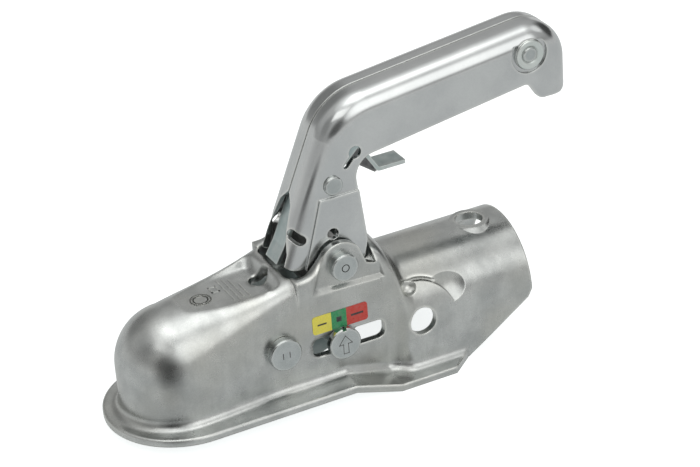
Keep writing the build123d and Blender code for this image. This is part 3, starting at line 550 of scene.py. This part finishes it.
def squeezed_spring():
    """The main spring, copied into a new piece that stands in for the hidden CAD node."""
    coil = bpy.data.objects.new("main_spring_coil", frame["nodes"]["main_spring"].data.copy())
    bpy.context.scene.collection.objects.link(coil)
    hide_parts("main_spring")
    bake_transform(coil)


def ground(name, height, grey, glow):
    """One level sheet of floor that reaches far past the picture."""
    material, tree, shader = new_nodes(name)
    shader.inputs["Base Color"].default_value = (grey, grey, grey, 1)
    shader.inputs["Roughness"].default_value = 0.9
    shader.inputs["Specular IOR Level"].default_value = 0.1
    shader.inputs["Emission Color"].default_value = (0.97, 1.0, 1.0, 1)
    shader.inputs["Emission Strength"].default_value = glow
    corners = [(x * FLOOR_REACH, y * FLOOR_REACH, height) for x, y in ((-1, -1), (1, -1), (1, 1), (-1, 1))]
    floor = mesh_piece(name, corners, [(0, 1, 2, 3)], material)
    return floor


def stage_light():
    """A white floor, a dimmer one that only the zinc mirrors, and two soft lamps overhead."""
    shown = ground("floor", FLOOR_Z, FLOOR_GREY, FLOOR_GLOW)
    shown.visible_glossy = False
    shown.visible_diffuse = False
    mirrored = ground("mirrored_floor", MIRRORED_FLOOR_Z, MIRRORED_GREY, MIRRORED_GLOW)
    mirrored.visible_camera = False
    mirrored.visible_shadow = False

    middle = (CAD_BOX[0] + CAD_BOX[1]) / 2
    for name, place, size, watts, tone in LAMPS:
        lamp = bpy.data.lights.new(name, "AREA")
        lamp.shape = "RECTANGLE"
        lamp.size, lamp.size_y = size
        lamp.energy = watts
        lamp.color = tone
        holder = bpy.data.objects.new(name, lamp)
        holder.location = middle + Vector(place)
        holder.rotation_mode = "QUATERNION"
        holder.rotation_quaternion = (-Vector(place)).to_track_quat("-Z", "Y")
        bpy.context.scene.collection.objects.link(holder)


def surround():
    """The studio round the object: brighter overhead, with soft panels and dark gaps."""
    world = bpy.data.worlds.new("surround")
    bpy.context.scene.world = world
    world.use_nodes = True
    tree = world.node_tree
    direction = tree.nodes.new("ShaderNodeTexCoord").outputs["Generated"]
    height = split_axes(tree, direction)["Z"]
    light = STUDIO_STEPS[0][1]
    for (low, value), (high, next_value) in zip(STUDIO_STEPS, STUDIO_STEPS[1:]):
        light = math_node(tree, "ADD", smooth_step(tree, height, low, high, 0.0, next_value - value), light)
    for azimuth, elevation, inner, outer, value in STUDIO_LOBES:
        turn, lift = math.radians(azimuth), math.radians(elevation)
        middle = (-math.sin(turn) * math.cos(lift), math.cos(turn) * math.cos(lift), math.sin(lift))
        closeness = vector_node(tree, "DOT_PRODUCT", direction, middle)
        share = smooth_step(tree, closeness, math.cos(math.radians(outer)), math.cos(math.radians(inner)))
        change = math_node(tree, "MULTIPLY", share, math_node(tree, "SUBTRACT", value, light))
        light = math_node(tree, "ADD", light, change)
    above = smooth_step(tree, height, *HORIZON_FADE)
    step = math_node(tree, "MULTIPLY", above, math_node(tree, "SUBTRACT", light, HORIZON))
    background = tree.nodes["Background"]
    background.inputs["Color"].default_value = (1, 1, 0.985, 1)
    link(tree, math_node(tree, "ADD", step, HORIZON), background.inputs["Strength"])
    bpy.context.scene.view_settings.view_transform = "Standard"


def dark_card(name, centre, azimuth, half_wide, half_high):
    """A dark oval card with soft edges, which shows only in the zinc."""
    turn = math.radians(azimuth)
    aside = Vector((math.cos(turn), math.sin(turn), 0))
    material, tree, shader = new_nodes(name)
    shader.inputs["Base Color"].default_value = (0.03, 0.03, 0.03, 1)
    shader.inputs["Roughness"].default_value = 1.0
    mapping = tree.nodes.new("ShaderNodeMapping")
    mapping.inputs["Rotation"].default_value = (0, 0, -turn)
    link(tree, object_coordinates(tree), mapping.inputs["Vector"])
    shares = (1 / (half_wide * MM), 0, 1 / (half_high * MM))
    distance = vector_node(tree, "LENGTH", vector_node(tree, "MULTIPLY", mapping.outputs["Vector"], shares))
    link(tree, smooth_step(tree, distance, CARD_SOFT_FROM, 1.0, CARD_COVER, 0.0), shader.inputs["Alpha"])
    round_points = circle(1, CARD_SIDES)
    points = [aside * x * half_wide * MM + Vector((0, 0, z * half_high * MM)) for x, z in round_points]
    card = mesh_piece(name, points, [tuple(range(CARD_SIDES))], material)
    card.location = Vector(centre) * MM
    card.visible_camera = False
    card.visible_diffuse = False
    card.visible_shadow = False


def camera():
    """The photograph's camera: half left of the slotted side, looking down by about 29 degrees."""
    data = bpy.data.cameras.new("camera")
    data.sensor_width = FILM_WIDTH
    data.lens = CAMERA_LENS
    data.clip_start, data.clip_end = CAMERA_CLIP
    holder = bpy.data.objects.new("camera", data)
    turn = Matrix((CAMERA_RIGHT, CAMERA_UP, CAMERA_BACK)).transposed().to_4x4()
    holder.matrix_world = Matrix.Translation(Vector(CAMERA_PLACE)) @ turn
    bpy.context.scene.collection.objects.link(holder)
    bpy.context.scene.camera = holder


dress_nodes()
marks()
gussets()
washer_rims()
squeezed_spring()
stage_light()
surround()
for card in DARK_CARDS:
    dark_card(*card)
camera()
